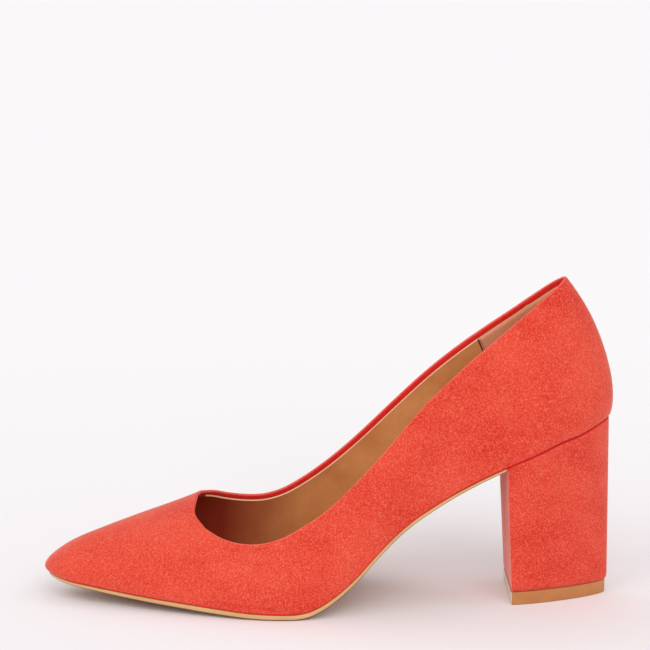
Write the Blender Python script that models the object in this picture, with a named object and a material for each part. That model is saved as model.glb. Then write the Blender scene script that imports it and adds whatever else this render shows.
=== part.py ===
"""A block heel pump, one shoe for the left foot: upper, insole, outsole, heel and top lift.

Sizes are in millimetres and become metres where a mesh is made. A station is the distance back from
the toe end of the outline. The toe points along -X, the outer side of the foot is -Y, and the shoe
stands on z = 0. The last is a row of half sections, each a curve from the sole's edge up to the
ridge over the foot, and the topline trims them.
"""

import math

import bmesh
import bpy
import numpy as np

MM = 0.001

# Driving sizes
LENGTH = 240.5          # toe end of the sole to the back of the heel seat
BALL_WIDTH = 74.0       # across the sole at the ball
HEEL_HEIGHT = 75.7      # floor to the underside of the seat's back edge
INSTEP_HEIGHT = 52.0    # ridge over the sole's edge behind the throat
WALL = 1.8              # suede, backing and lining together
FIT_GAP = 0.3           # between pieces that touch on the real shoe
INSOLE_THICKNESS = 3.5
LIFT_HEIGHT = 5.5
LIFT_HALF_WIDTH = 20.0
HEEL_DEPTH = 42.0       # breast to back, at the lift
BLOCK_OVERHANG = 0.9    # the covered block's foot reaches this far behind the lift

# Places along the length
TIP = 1.6               # station of the sole's front end
TIP_SIDE = 4.2          # the toe end, and the ridge over it, lie this far towards the inner side
TOE_POLE = 18.0         # the toe's sections turn round a line here
THROAT = 64.8           # front of the opening
SEAT_POLE = 205.0       # the heel's sections turn round a line here
BREAST_TOP = 195.5      # front of the heel, at the seat
BREAST_LEAN = 2.5       # the breast's foot is this much further back

# The tables' own sizes, which the driving sizes above stretch
PATTERN_LENGTH = 240.5
PATTERN_BALL = 74.0
PATTERN_HEEL = 75.7
PATTERN_INSTEP = 52.0

STATION = 0

# station, height of the sole's underside, thickness of the sole
HEIGHT, THICKNESS = 1, 2
UNDERSIDE = np.array([
    (0, 9.6, 1.3),
    (6, 8.3, 1.3),
    (20, 6.4, 1.6),
    (40, 4.2, 1.9),
    (60, 2.5, 2.2),
    (76, 1.1, 2.3),
    (88, 0.2, 2.3),
    (96, 0.0, 2.3),
    (106, 0.0, 2.3),
    (112, 1.0, 2.3),
    (118, 3.6, 2.3),
    (124, 7.6, 2.2),
    (132, 14.4, 2.1),
    (140, 22.8, 2.0),
    (148, 30.8, 1.9),
    (156, 37.2, 1.8),
    (164, 42.3, 1.7),
    (174, 48.2, 1.5),
    (184, 53.5, 1.3),
    (194, 58.4, 1.2),
    (206, 63.8, 1.2),
    (220, 69.7, 1.2),
    (232, 73.6, 1.2),
    (242, 75.7, 1.2),
])

# station, the outline's distance from the heel's centre line, to the outer and to the inner side
OUTER, INNER = 1, 2
OUTLINE = np.array([
    (18, 13.3, 14.4),
    (30, 18.2, 18.6),
    (50, 26.3, 24.7),
    (70, 33.2, 29.8),
    (88, 37.8, 33.9),
    (100, 39.4, 34.6),
    (110, 39.0, 33.7),
    (125, 36.0, 30.2),
    (140, 31.6, 26.0),
    (155, 27.3, 22.9),
    (170, 23.9, 21.2),
    (185, 22.4, 21.2),
    (205, 23.3, 23.3),
])

# station, the ridge's side and height, how far and how high the outer side bulges, the same for the
# inner side, the shoulder as a share of the half width, and how far the shoulder drops from the ridge
RIDGE_SIDE, RIDGE_HEIGHT, OUT_OUTER, UP_OUTER, OUT_INNER, UP_INNER, SHOULDER, DROP = range(1, 9)
LAST = np.array([
    (18, 4.2, 26.1, 3.0, 7.0, 3.0, 7.0, 0.62, 0),
    (30, 4.6, 30.7, 3.4, 8.5, 3.4, 8.9, 0.62, 0),
    (42, 5.0, 35.0, 3.8, 10.0, 3.8, 10.7, 0.62, 0),
    (54, 5.4, 39.1, 4.1, 11.5, 4.1, 12.5, 0.62, 0),
    (65, 5.6, 43.3, 4.5, 13.0, 4.5, 14.0, 0.62, 0),
    (75, 5.4, 48.0, 4.7, 14.3, 4.7, 15.7, 0.62, 0),
    (88, 4.8, 56.5, 5.0, 16.0, 5.0, 18.0, 0.62, 0),
    (100, 4.2, 66.0, 5.0, 17.8, 5.0, 21.0, 0.61, 0),
    (115, 3.4, 80.0, 4.9, 21.6, 7.9, 25.4, 0.60, 0.5),
    (135, 2.2, 100.0, 4.5, 28.0, 10.9, 30.0, 0.58, 2.0),
    (160, 1.0, 125.0, 3.5, 34.0, 8.1, 36.0, 0.56, 8.0),
    (185, 0.0, 144.0, 3.0, 30.0, 3.7, 32.0, 0.55, 14.0),
    (205, 0.0, 152.0, 3.5, 26.0, 3.5, 26.0, 0.55, 16.0),
])

# station, height of the topline on the outer and on the inner side
TOPLINE = np.array([
    (64.8, 43.3, 43.6),
    (66, 39.2, 43.5),
    (68, 36.0, 42.9),
    (72, 33.6, 42.0),
    (78, 31.7, 39.5),
    (86, 31.0, 37.3),
    (94, 32.0, 36.9),
    (102, 34.8, 39.1),
    (110, 39.1, 43.6),
    (120, 45.8, 50.9),
    (130, 54.8, 59.6),
    (140, 64.9, 69.5),
    (150, 75.8, 79.9),
    (160, 86.8, 90.1),
    (170, 96.1, 99.4),
    (180, 105.1, 107.6),
    (190, 113.4, 114.9),
    (200, 121.8, 121.8),
    (210, 129.9, 129.1),
    (221, 138.0, 138.0),
])

# The toe end and the back: bulge out and up, shoulder share, and the shoulder's drop
TOE_BULGE = (6.3, 1.7, 0.64)
BACK_BULGE = (6.5, 12.0, 0.81, 16.8)
TOE_HANDLES = (7.5, 9.0)     # the toe outline's curve: across at the tip, along at the toe pole
SEAT_HANDLES = (13.0, 9.5)   # the seat outline's curve: along at its start, across at the back
LIFT_HANDLES = (14.0, 6.5)   # the lift outline's curve: along at the breast, across at the back
LIFT_START_SLOPE = 0.09      # the heel narrows by this much as it leaves the breast

# Steps of the meshes
TOE_COLUMNS = 8
BACK_COLUMNS = 10
ROWS = 12
CLOSE_COLUMNS = (0.0, 0.3, 0.9, 1.9, 3.2, 5.0, 7.5)   # behind the throat, where the topline turns
COLUMN_STEP = 4.2
HEEL_ROWS = 5
CORNER_RADIUS = 1.2
SOLE_CHAMFER = 0.6
LIFT_CHAMFER = 0.4
SHARP_EDGE = math.radians(40)


def smooth(table, column, at):
    """The column's value at a station, on a smooth curve through the table's rows."""
    x = table[:, STATION]
    y = table[:, column]
    step = np.diff(x)
    rise = np.diff(y) / step
    slope = np.empty(len(x))
    slope[1:-1] = (rise[:-1] * step[1:] + rise[1:] * step[:-1]) / (step[1:] + step[:-1])
    slope[0] = 1.5 * rise[0] - 0.5 * slope[1]
    slope[-1] = 1.5 * rise[-1] - 0.5 * slope[-2]
    at = np.clip(at, x[0], x[-1])
    i = np.clip(np.searchsorted(x, at, side="right") - 1, 0, len(x) - 2)
    h = step[i]
    t = (at - x[i]) / h
    ends = (1 + 2 * t) * (1 - t) ** 2 * y[i] + t * t * (3 - 2 * t) * y[i + 1]
    return ends + h * t * (1 - t) * ((1 - t) * slope[i] - t * slope[i + 1])


def curve(points, t):
    """Points of the cubic curve with these four handles."""
    a, b, c, d = (np.asarray(p, float) for p in points)
    t = np.asarray(t, float)[..., None]
    s = 1 - t
    return s**3 * a + 3 * s * s * t * b + 3 * s * t * t * c + t**3 * d


def grade_tables():
    """The tables stretched to the driving sizes."""
    for table in (UNDERSIDE, OUTLINE, LAST, TOPLINE):
        table[:, STATION] *= LENGTH / PATTERN_LENGTH
    OUTLINE[:, [OUTER, INNER]] *= BALL_WIDTH / PATTERN_BALL
    low = sole_top(LAST[:, STATION])
    low_top = sole_top(TOPLINE[:, STATION])
    UNDERSIDE[:, HEIGHT] *= HEEL_HEIGHT / PATTERN_HEEL
    instep = INSTEP_HEIGHT / PATTERN_INSTEP
    LAST[:, RIDGE_HEIGHT] = sole_top(LAST[:, STATION]) + (LAST[:, RIDGE_HEIGHT] - low) * instep
    for side in (OUTER, INNER):
        over = (TOPLINE[:, side] - low_top) * instep
        TOPLINE[:, side] = sole_top(TOPLINE[:, STATION]) + over


def sole_under(station):
    return np.maximum(smooth(UNDERSIDE, HEIGHT, station), 0.0)


def sole_top(station):
    return sole_under(station) + smooth(UNDERSIDE, THICKNESS, station)


def seat(station):
    """Where the upper's edge and the insole rest, a fit gap over the sole."""
    return sole_top(station) + FIT_GAP


def half_width(station, side):
    """Signed: the outer side is -1."""
    return side * smooth(OUTLINE, OUTER if side < 0 else INNER, station)


def toe_outline(side):
    width = half_width(TOE_POLE, side)
    spread = half_width(TOE_POLE + 1, side) - width
    across, along = TOE_HANDLES
    return (
        (TIP, TIP_SIDE),
        (TIP, TIP_SIDE + side * across),
        (TOE_POLE - along, width - along * spread),
        (TOE_POLE, width),
    )


def seat_outline(side):
    width = half_width(SEAT_POLE, side)
    along, across = SEAT_HANDLES
    return (
        (SEAT_POLE, width),
        (SEAT_POLE + along, width),
        (LENGTH, side * across),
        (LENGTH, 0.0),
    )


def bulge_at(station, side):
    """How far out, how far up, the shoulder's share and its drop."""
    out, up = (OUT_OUTER, UP_OUTER) if side < 0 else (OUT_INNER, UP_INNER)
    return np.array([smooth(LAST, c, station) for c in (out, up, SHOULDER, DROP)])


def turned_section(pole, foot, bulge, end_bulge, ridge_height, ridge_slope):
    """A section from a foot on a rounded end of the outline to the ridge at the pole."""
    run = foot - pole
    reach = np.hypot(*run)
    way = run / reach
    end = way[0] ** 2
    out, up, shoulder, drop = end_bulge * end + bulge * (1 - end)
    low = seat(foot[0])
    fall = ridge_slope * way[0] * shoulder * reach
    return pole, way, (
        (reach, low),
        (reach + out, low + up),
        (shoulder * reach, ridge_height - drop + fall),
        (0.0, ridge_height),
    )


def straight_section(station, side):
    pole = np.array([station, smooth(LAST, RIDGE_SIDE, station)])
    reach = abs(half_width(station, side) - pole[1])
    out, up, shoulder, drop = bulge_at(station, side)
    low = seat(station)
    high = smooth(LAST, RIDGE_HEIGHT, station)
    return pole, np.array([0.0, side]), (
        (reach, low),
        (reach + out, low + up),
        (shoulder * reach, high - drop),
        (0.0, high),
    )


def stations():
    """The straight sections' stations, closer together behind the throat."""
    before = np.linspace(TOE_POLE, THROAT, 12)[:-1]
    close = THROAT + np.array(CLOSE_COLUMNS)
    count = int((SEAT_POLE - close[-1]) / COLUMN_STEP) + 1
    behind = np.linspace(close[-1], SEAT_POLE, count + 1)[1:]
    return np.concatenate([before, close, behind])


def sections(side):
    """Every half section of one side, from the toe end round to the back."""
    toe_pole = np.array([TOE_POLE, smooth(LAST, RIDGE_SIDE, TOE_POLE)])
    toe_high = smooth(LAST, RIDGE_HEIGHT, TOE_POLE)
    toe_slope = smooth(LAST, RIDGE_HEIGHT, TOE_POLE + 1) - toe_high
    toe_end = np.array(TOE_BULGE + (0.0,))
    toe = [
        turned_section(toe_pole, foot, bulge_at(TOE_POLE, side), toe_end, toe_high, toe_slope)
        for foot in curve(toe_outline(side), np.arange(TOE_COLUMNS) / TOE_COLUMNS)
    ]
    middle = [straight_section(station, side) for station in stations()]
    back_pole = np.array([SEAT_POLE, smooth(LAST, RIDGE_SIDE, SEAT_POLE)])
    back_high = smooth(LAST, RIDGE_HEIGHT, SEAT_POLE)
    back_end = np.array(BACK_BULGE)
    back = [
        turned_section(back_pole, foot, bulge_at(SEAT_POLE, side), back_end, back_high, 0.0)
        for foot in curve(seat_outline(side), np.arange(1, BACK_COLUMNS + 1) / BACK_COLUMNS)
    ]
    return toe + middle + back


def section_point(section, t):
    pole, way, handles = section
    reach, height = curve(handles, t).T
    flat = pole + np.multiply.outer(reach, way)
    return np.column_stack([flat, height]) if flat.ndim > 1 else np.append(flat, height)


def trim(section, side):
    """The share of a section below the topline. At the back the two sides' toplines become one."""
    pole, way, _ = section
    if pole[0] <= THROAT:
        return 1.0
    own, other = (OUTER, INNER) if side < 0 else (INNER, OUTER)
    shared = way[0] ** 2 / 2
    low, high = 0.0, 1.0
    for _ in range(30):
        middle = (low + high) / 2
        station, _, height = section_point(section, np.array([middle]))[0]
        top = smooth(TOPLINE, own, station) * (1 - shared) + smooth(TOPLINE, other, station) * shared
        if height < top:
            low = middle
        else:
            high = middle
    return low


def outer_wall(side):
    """The outside of one side of the upper, as columns of points."""
    found = sections(side)
    return np.array([
        section_point(section, np.linspace(0, trim(section, side), ROWS + 1))
        for section in found
    ])


def wall_normals(walls):
    """Outward directions at the points of both walls, joined where the walls meet."""
    points = np.concatenate([wall.reshape(-1, 3) for wall in walls])
    _, index = np.unique(np.round(points, 3), axis=0, return_inverse=True)
    index = index.reshape(-1)
    total = np.zeros((index.max() + 1, 3))
    start = 0
    for wall, side in zip(walls, (-1, 1)):
        across = wall[1:, 1:] - wall[:-1, :-1]
        along = wall[1:, :-1] - wall[:-1, 1:]
        face = side * np.cross(across, along)
        number = np.arange(wall[..., 0].size).reshape(wall.shape[:2]) + start
        for corner in (number[1:, 1:], number[:-1, :-1], number[1:, :-1], number[:-1, 1:]):
            np.add.at(total, index[corner.ravel()], face.reshape(-1, 3))
        start += number.size
    normal = (total / np.linalg.norm(total, axis=1)[:, None])[index]
    split = walls[0][..., 0].size
    return normal[:split].reshape(walls[0].shape), normal[split:].reshape(walls[1].shape)


def inner_wall(wall, normal, side):
    """The inside of one side of the upper: its foot lies level with the outer foot."""
    inside = wall - WALL * normal
    way = np.array([section[1] for section in sections(side)])
    inside[:, 0, :2] = wall[:, 0, :2] - WALL * way
    inside[:, 0, 2] = seat(inside[:, 0, 0])
    return inside


def both_walls():
    outside = [outer_wall(side) for side in (-1, 1)]
    normals = wall_normals(outside)
    inside = [inner_wall(w, n, side) for w, n, side in zip(outside, normals, (-1, 1))]
    return outside, inside


def upper_grids():
    outside, inside = both_walls()
    throat = TOE_COLUMNS + int(np.argmax(stations() >= THROAT - 1e-6))
    grids = []
    for out, into in zip(outside, inside):
        grids += [out, into]
        grids.append(np.stack([out[:, 0], into[:, 0]], axis=1))
        grids.append(np.stack([out[throat:, -1], into[throat:, -1]], axis=1))
    return grids


def insole_grids():
    """A plate inside the wall's foot, with edges that follow the wall's slope."""
    _, inside = both_walls()
    low, high = [], []
    for wall, side in zip(inside, (-1, 1)):
        way = np.array([section[1] for section in sections(side)])
        foot = wall[:, 0].copy()
        foot[:, :2] -= FIT_GAP * way
        top = np.empty_like(foot)
        for i, column in enumerate(wall):
            over = column[:, 2] - seat(column[:, 0])
            top[i] = [np.interp(INSOLE_THICKNESS, over, column[:, axis]) for axis in range(3)]
        top[:, :2] -= FIT_GAP * way
        foot[:, 2] = seat(foot[:, 0])
        top[:, 2] = seat(top[:, 0]) + INSOLE_THICKNESS
        low.append(foot)
        high.append(top)
    ring = [low[0], high[0], high[1], low[1], low[0]]
    return [np.stack([a, b], axis=1) for a, b in zip(ring, ring[1:])]


def sole_stations():
    """The outline's points of one side, toe end to the heel's breast."""
    end = BREAST_TOP - FIT_GAP
    straight = stations()
    straight = np.append(straight[straight < end - 1], end)
    feet = []
    for side in (-1, 1):
        toe = curve(toe_outline(side), np.arange(TOE_COLUMNS) / TOE_COLUMNS)
        rest = np.column_stack([straight, half_width(straight, side)])
        feet.append(np.concatenate([toe, rest]))
    return feet


def outsole_grids():
    """The sole's plate with a chamfered lower edge."""
    rings = []
    for side, foot in zip((-1, 1), sole_stations()):
        top = np.column_stack([foot, sole_top(foot[:, 0])])
        bottom = np.column_stack([foot, sole_under(foot[:, 0])])
        edge = bottom.copy()
        edge[:, 2] += SOLE_CHAMFER
        bottom[:, 1] -= side * np.minimum(SOLE_CHAMFER, abs(bottom[:, 1] - TIP_SIDE))
        rings.append([top, edge, bottom])
    outer, inner = rings
    ring = outer + inner[::-1] + [outer[0]]
    grids = [np.stack([a, b], axis=1) for a, b in zip(ring, ring[1:])]
    end = np.array([line[-1] for line in ring[:-1]])
    grids.append(np.stack([end[:3], end[:2:-1]], axis=1))
    return grids


def rounded_breast(start, side):
    """The breast's corner as a short arc, from the breast's face round to the side."""
    turn = np.linspace(0, np.pi / 2, 4)[:, None]
    centre = start + np.array([CORNER_RADIUS, -side * CORNER_RADIUS])
    return centre + CORNER_RADIUS * np.hstack([-np.cos(turn), side * np.sin(turn)])


def heel_outline(side, at_seat, depth=HEEL_DEPTH):
    """Half of the heel's outline, from the middle of the breast to the middle of the back."""
    t = np.linspace(0, 1, BACK_COLUMNS + 3)[1:]
    if at_seat:
        front = np.array([BREAST_TOP, half_width(BREAST_TOP, side) - side * 0.4])
        middle = np.array([SEAT_POLE, half_width(SEAT_POLE, side)])
        back = curve(seat_outline(side), t)
        flank = [front + (middle - front) * share for share in (0.5, 1.0)]
    else:
        along, across = LIFT_HANDLES
        front = np.array([BREAST_TOP + BREAST_LEAN, side * LIFT_HALF_WIDTH])
        end = front[0] + depth
        narrow = front + np.array([along, -side * along * LIFT_START_SLOPE])
        path = (front, narrow, (end, side * across), (end, 0.0))
        flank = list(curve(path, np.array([0.12, 0.24])))
        back = curve(path, 0.24 + 0.76 * t)
    corner = rounded_breast(front, side)
    breast = np.array([[front[0], 0.0]])
    return np.concatenate([breast, corner, flank, back])


def block_grids(low_outline, high_outline, heights, rows):
    """Side walls from one outline to another, and the two ends as strips across."""
    grids = []
    ends = []
    for low, high in zip(low_outline, high_outline):
        low_height, high_height = heights(low, high)
        bottom = np.column_stack([low, low_height])
        top = np.column_stack([high, high_height])
        share = np.linspace(0, 1, rows + 1)[None, :, None]
        grids.append(bottom[:, None] * (1 - share) + top[:, None] * share)
        ends.append((bottom, top))
    for a, b in zip(*ends):
        grids.append(np.stack([a, b], axis=1))
    return grids


def heel_grids():
    def heights(low, high):
        return np.full(len(low), LIFT_HEIGHT + FIT_GAP), sole_top(high[:, 0])

    low = [heel_outline(side, False, HEEL_DEPTH + BLOCK_OVERHANG) for side in (-1, 1)]
    high = [heel_outline(side, True) for side in (-1, 1)]
    return block_grids(low, high, heights, HEEL_ROWS)


def lift_grids():
    """The lift: a straight edge over a small chamfer at the floor."""
    outline = [heel_outline(side, False) for side in (-1, 1)]
    centre = np.array([BREAST_TOP + BREAST_LEAN + HEEL_DEPTH / 2, 0.0])
    reach = np.array([HEEL_DEPTH / 2, LIFT_HALF_WIDTH])
    inset = [centre + (line - centre) * (reach - LIFT_CHAMFER) / reach for line in outline]
    grids = []
    ends = []
    for line, small in zip(outline, inset):
        count = len(line)
        levels = [
            np.column_stack([small, np.zeros(count)]),
            np.column_stack([line, np.full(count, LIFT_CHAMFER)]),
            np.column_stack([line, np.full(count, LIFT_HEIGHT)]),
        ]
        grids.append(np.stack(levels, axis=1))
        ends.append((levels[0], levels[-1]))
    for a, b in zip(*ends):
        grids.append(np.stack([a, b], axis=1))
    return grids


def add_solid(name, grids, centre, material, collection):
    """One closed body from grids of points, welded where they share an edge."""
    body = bmesh.new()
    for grid in grids:
        places = (grid - centre) * MM
        rows = [[body.verts.new(place) for place in line] for line in places]
        for line, after in zip(rows, rows[1:]):
            for a, b, c, d in zip(line, line[1:], after[1:], after):
                body.faces.new((a, b, c, d))
    bmesh.ops.remove_doubles(body, verts=body.verts, dist=1e-6)
    bmesh.ops.dissolve_degenerate(body, edges=body.edges, dist=1e-7)
    bmesh.ops.recalc_face_normals(body, faces=body.faces)
    for face in body.faces:
        face.smooth = True
    for edge in body.edges:
        edge.smooth = edge.calc_face_angle() < SHARP_EDGE
    mesh = bpy.data.meshes.new(name)
    body.to_mesh(mesh)
    body.free()
    mesh.materials.append(material)
    piece = bpy.data.objects.new(name, mesh)
    collection.objects.link(piece)
    return piece


def plain_material(name, colour, roughness):
    material = bpy.data.materials.new(name)
    material.use_nodes = True
    shader = material.node_tree.nodes["Principled BSDF"]
    shader.inputs["Base Color"].default_value = (*colour, 1.0)
    shader.inputs["Roughness"].default_value = roughness
    return material


def main():
    for thing in list(bpy.data.objects):
        bpy.data.objects.remove(thing, do_unlink=True)
    grade_tables()
    shoe = bpy.data.collections.new("block_heel_pump")
    bpy.context.scene.collection.children.link(shoe)
    pieces = {
        "upper": (upper_grids(), (0.80, 0.09, 0.05), 0.9),
        "insole": (insole_grids(), (0.46, 0.20, 0.08), 0.6),
        "outsole": (outsole_grids(), (0.56, 0.26, 0.09), 0.6),
        "heel": (heel_grids(), (0.80, 0.09, 0.05), 0.9),
        "top_lift": (lift_grids(), (0.56, 0.26, 0.09), 0.6),
    }
    points = np.concatenate([
        grid.reshape(-1, 3) for grids, _, _ in pieces.values() for grid in grids
    ])
    centre = (points.min(axis=0) + points.max(axis=0)) / 2
    centre[2] = 0.0
    for name, (grids, colour, roughness) in pieces.items():
        add_solid(name, grids, centre, plain_material(name, colour, roughness), shoe)


main()
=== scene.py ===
"""Looks of the block heel pump: napped suede over a folded topline, tan lining, sock, sole and lift.

Sizes are in millimetres and become metres where a mesh is made. A station is the distance back from
the toe end of the outline, and the tables of the last are the ones that the part is built from. The
toe points along -X, the outer side of the foot is -Y, and the shoe stands on z = 0.
"""

import math

import bmesh
import bpy
import numpy as np
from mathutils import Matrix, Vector, kdtree, noise

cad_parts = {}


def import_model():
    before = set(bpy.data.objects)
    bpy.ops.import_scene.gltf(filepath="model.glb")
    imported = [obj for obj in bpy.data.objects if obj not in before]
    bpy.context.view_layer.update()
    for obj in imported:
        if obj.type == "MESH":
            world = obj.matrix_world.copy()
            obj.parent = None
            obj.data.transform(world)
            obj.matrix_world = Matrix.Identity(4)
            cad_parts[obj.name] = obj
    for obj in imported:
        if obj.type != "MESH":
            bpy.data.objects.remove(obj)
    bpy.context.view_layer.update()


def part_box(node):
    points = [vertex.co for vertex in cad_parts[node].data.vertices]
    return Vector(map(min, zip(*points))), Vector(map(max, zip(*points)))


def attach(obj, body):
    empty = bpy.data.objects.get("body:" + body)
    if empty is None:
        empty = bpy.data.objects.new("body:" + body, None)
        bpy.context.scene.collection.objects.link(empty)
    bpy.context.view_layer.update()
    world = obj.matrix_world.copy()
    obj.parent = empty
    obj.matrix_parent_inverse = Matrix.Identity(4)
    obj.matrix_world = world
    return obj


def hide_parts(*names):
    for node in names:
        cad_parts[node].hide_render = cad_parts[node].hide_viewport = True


MM = 0.001
SIDES = (-1, 1)

# The part's driving sizes
LENGTH = 240.5
WALL = 1.8
FIT_GAP = 0.3
INSOLE_THICKNESS = 3.5
LIFT_HEIGHT = 5.5
LIFT_HALF_WIDTH = 20.0
HEEL_DEPTH = 42.0
BLOCK_OVERHANG = 0.9     # the covered block's foot reaches this far behind the lift
TIP = 1.6
TIP_SIDE = 4.2
TOE_POLE = 18.0
THROAT = 64.8
SEAT_POLE = 205.0
BREAST_TOP = 195.5
BREAST_LEAN = 2.5

STATION = 0

# station, height of the sole's underside, thickness of the sole
HEIGHT, THICKNESS = 1, 2
UNDERSIDE = np.array([
    (0, 9.6, 1.3),
    (6, 8.3, 1.3),
    (20, 6.4, 1.6),
    (40, 4.2, 1.9),
    (60, 2.5, 2.2),
    (76, 1.1, 2.3),
    (88, 0.2, 2.3),
    (96, 0.0, 2.3),
    (106, 0.0, 2.3),
    (112, 1.0, 2.3),
    (118, 3.6, 2.3),
    (124, 7.6, 2.2),
    (132, 14.4, 2.1),
    (140, 22.8, 2.0),
    (148, 30.8, 1.9),
    (156, 37.2, 1.8),
    (164, 42.3, 1.7),
    (174, 48.2, 1.5),
    (184, 53.5, 1.3),
    (194, 58.4, 1.2),
    (206, 63.8, 1.2),
    (220, 69.7, 1.2),
    (232, 73.6, 1.2),
    (242, 75.7, 1.2),
])

# station, the outline's distance from the heel's centre line, to the outer and to the inner side
OUTER, INNER = 1, 2
OUTLINE = np.array([
    (18, 13.3, 14.4),
    (30, 18.2, 18.6),
    (50, 26.3, 24.7),
    (70, 33.2, 29.8),
    (88, 37.8, 33.9),
    (100, 39.4, 34.6),
    (110, 39.0, 33.7),
    (125, 36.0, 30.2),
    (140, 31.6, 26.0),
    (155, 27.3, 22.9),
    (170, 23.9, 21.2),
    (185, 22.4, 21.2),
    (205, 23.3, 23.3),
])

# station, the ridge's side and height, how far and how high the outer side bulges, the same for the
# inner side, the shoulder as a share of the half width, and how far the shoulder drops from the ridge
RIDGE_SIDE, RIDGE_HEIGHT, OUT_OUTER, UP_OUTER, OUT_INNER, UP_INNER, SHOULDER, DROP = range(1, 9)
LAST = np.array([
    (18, 4.2, 26.1, 3.0, 7.0, 3.0, 7.0, 0.62, 0),
    (30, 4.6, 30.7, 3.4, 8.5, 3.4, 8.9, 0.62, 0),
    (42, 5.0, 35.0, 3.8, 10.0, 3.8, 10.7, 0.62, 0),
    (54, 5.4, 39.1, 4.1, 11.5, 4.1, 12.5, 0.62, 0),
    (65, 5.6, 43.3, 4.5, 13.0, 4.5, 14.0, 0.62, 0),
    (75, 5.4, 48.0, 4.7, 14.3, 4.7, 15.7, 0.62, 0),
    (88, 4.8, 56.5, 5.0, 16.0, 5.0, 18.0, 0.62, 0),
    (100, 4.2, 66.0, 5.0, 17.8, 5.0, 21.0, 0.61, 0),
    (115, 3.4, 80.0, 4.9, 21.6, 7.9, 25.4, 0.60, 0.5),
    (135, 2.2, 100.0, 4.5, 28.0, 10.9, 30.0, 0.58, 2.0),
    (160, 1.0, 125.0, 3.5, 34.0, 8.1, 36.0, 0.56, 8.0),
    (185, 0.0, 144.0, 3.0, 30.0, 3.7, 32.0, 0.55, 14.0),
    (205, 0.0, 152.0, 3.5, 26.0, 3.5, 26.0, 0.55, 16.0),
])

# station, height of the topline on the outer and on the inner side
TOPLINE = np.array([
    (64.8, 43.3, 43.6),
    (66, 39.2, 43.5),
    (68, 36.0, 42.9),
    (72, 33.6, 42.0),
    (78, 31.7, 39.5),
    (86, 31.0, 37.3),
    (94, 32.0, 36.9),
    (102, 34.8, 39.1),
    (110, 39.1, 43.6),
    (120, 45.8, 50.9),
    (130, 54.8, 59.6),
    (140, 64.9, 69.5),
    (150, 75.8, 79.9),
    (160, 86.8, 90.1),
    (170, 96.1, 99.4),
    (180, 105.1, 107.6),
    (190, 113.4, 114.9),
    (200, 121.8, 121.8),
    (210, 129.9, 129.1),
    (221, 138.0, 138.0),
])

# The toe end and the back: bulge out and up, shoulder share, and the shoulder's drop
TOE_BULGE = (6.3, 1.7, 0.64, 0.0)
BACK_BULGE = (6.5, 12.0, 0.81, 16.8)

# The reach of the outlines' curve handles: across and along at the toe, along and across elsewhere
TOE_HANDLES = (7.5, 9.0)
SEAT_HANDLES = (13.0, 9.5)
LIFT_HANDLES = (14.0, 6.5)
LIFT_START_SLOPE = 0.09

# A place c is 0 at the toe end, 1 and 2 at the poles, and 3 at the back
POLE_RUN = SEAT_POLE - TOE_POLE
SEAT_RUN = 40.0          # about the length of the outline round the seat
PLACE_RUNS = ((0.0, 1.0, 2.0, 3.0), (0.0, TOE_POLE, SEAT_POLE, SEAT_POLE + SEAT_RUN))

# The throat's front: how far it lies back on the ridge and forward on the outer side, and where
THROAT_BACK = 0.6
THROAT_RIDGE = 5.6
THROAT_FRONT = 1.5
THROAT_CHEEK = -10.0
THROAT_SPREAD = 6.5
THROAT_REACH = 9.0

# The folded topline and the lining's edge, measured down from the topline
FOLD_RADIUS = 0.65       # the folded suede is twice this thick
BAND = 2.6               # width of the folded suede on the inside
BAND_SWELL = 0.12        # the band's soft ridge
GROOVE = 0.25            # the stitched valley over the lining's edge
LINING_EDGE = 0.3        # the pale cut edge
LINING_PROUD = 0.04      # the lining's top edge stands this far proud of its face
EDGE_START = 12          # columns behind the throat where it first shows
SOCK_OVERLAP = 1.0       # the lining ends this far below the top of the sock

# The upper's lower edge
UNDER_TURN = 2.5         # suede turned in under the edge of the sole
FOOT_ROUND = 1.3         # height of the wall's rounded lower edge
SOLE_DRAW = 0.1          # and its depth over the sole
HEEL_DRAW = 0.7          # and over the heel
DRAW_RUN = 12.0          # behind the breast, from the one to the other
SEAM_SAG = 0.8           # the heel's seam hangs this much lower on the quarter
SAG_STATION = 227.0
SAG_SPREAD = 6.0
SEAM_CLIMB = 0.8         # and lies this much higher round the back
CLIMB_STATION = 233.0    # where it starts to climb
CLIMB_RUN = 7.0
SEAM_FADE = 5.0          # height over the seat up to which the wall follows the seam

# The heel grip
GRIP_FRONT = 185.0       # station where the heel grip's seam meets the band
GRIP_FOOT = 203.0        # and where it meets the sock
GRIP_SEAM = 0.6          # width of the seam's shadow
GRIP_LIFT = 0.35         # the heel grip stands this far off the lining

# The sock's top
SOCK_CROWN = 0.5
CROWN_RUN = 12.0         # from its edge to the full crown
SOCK_ROLL = 0.8          # width of its rolled edge

# The heel's outline and its cover
BREAST_INSET = 0.4       # the breast's corner lies this far inside the upper's edge
BREAST_CORNER = 1.2      # radius of the breast's corners
INNER_CORNER = 4.0       # and of the inner one, at the lift
CORNER_SHARE = 0.0222    # the share of the lift's curve that a millimetre of radius takes
LIFT_FLANK = 0.24        # and the share up to the end of its flank
LOWER_DRAW = 1.2         # how far the cover's lower edge is rounded in
LOWER_SHARE = 0.04       # over this share of the heel's height
UPPER_DRAW = 0.5         # and its upper edge
UPPER_SHARE = 0.015
JOINT_SIDE = 3.0         # the cover's joint down the breast, from the heel's centre line
JOINT_WIDTH = 0.35
JOINT_DEPTH = 0.45
FRONT_POINTS = 28        # the outline's points from the breast's middle to its rounded corner's middle

# How long and how high the suede's slow swells are
SWELL = (17.0, 0.16)
SMALL_SWELL = (6.0, 0.05)

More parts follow.
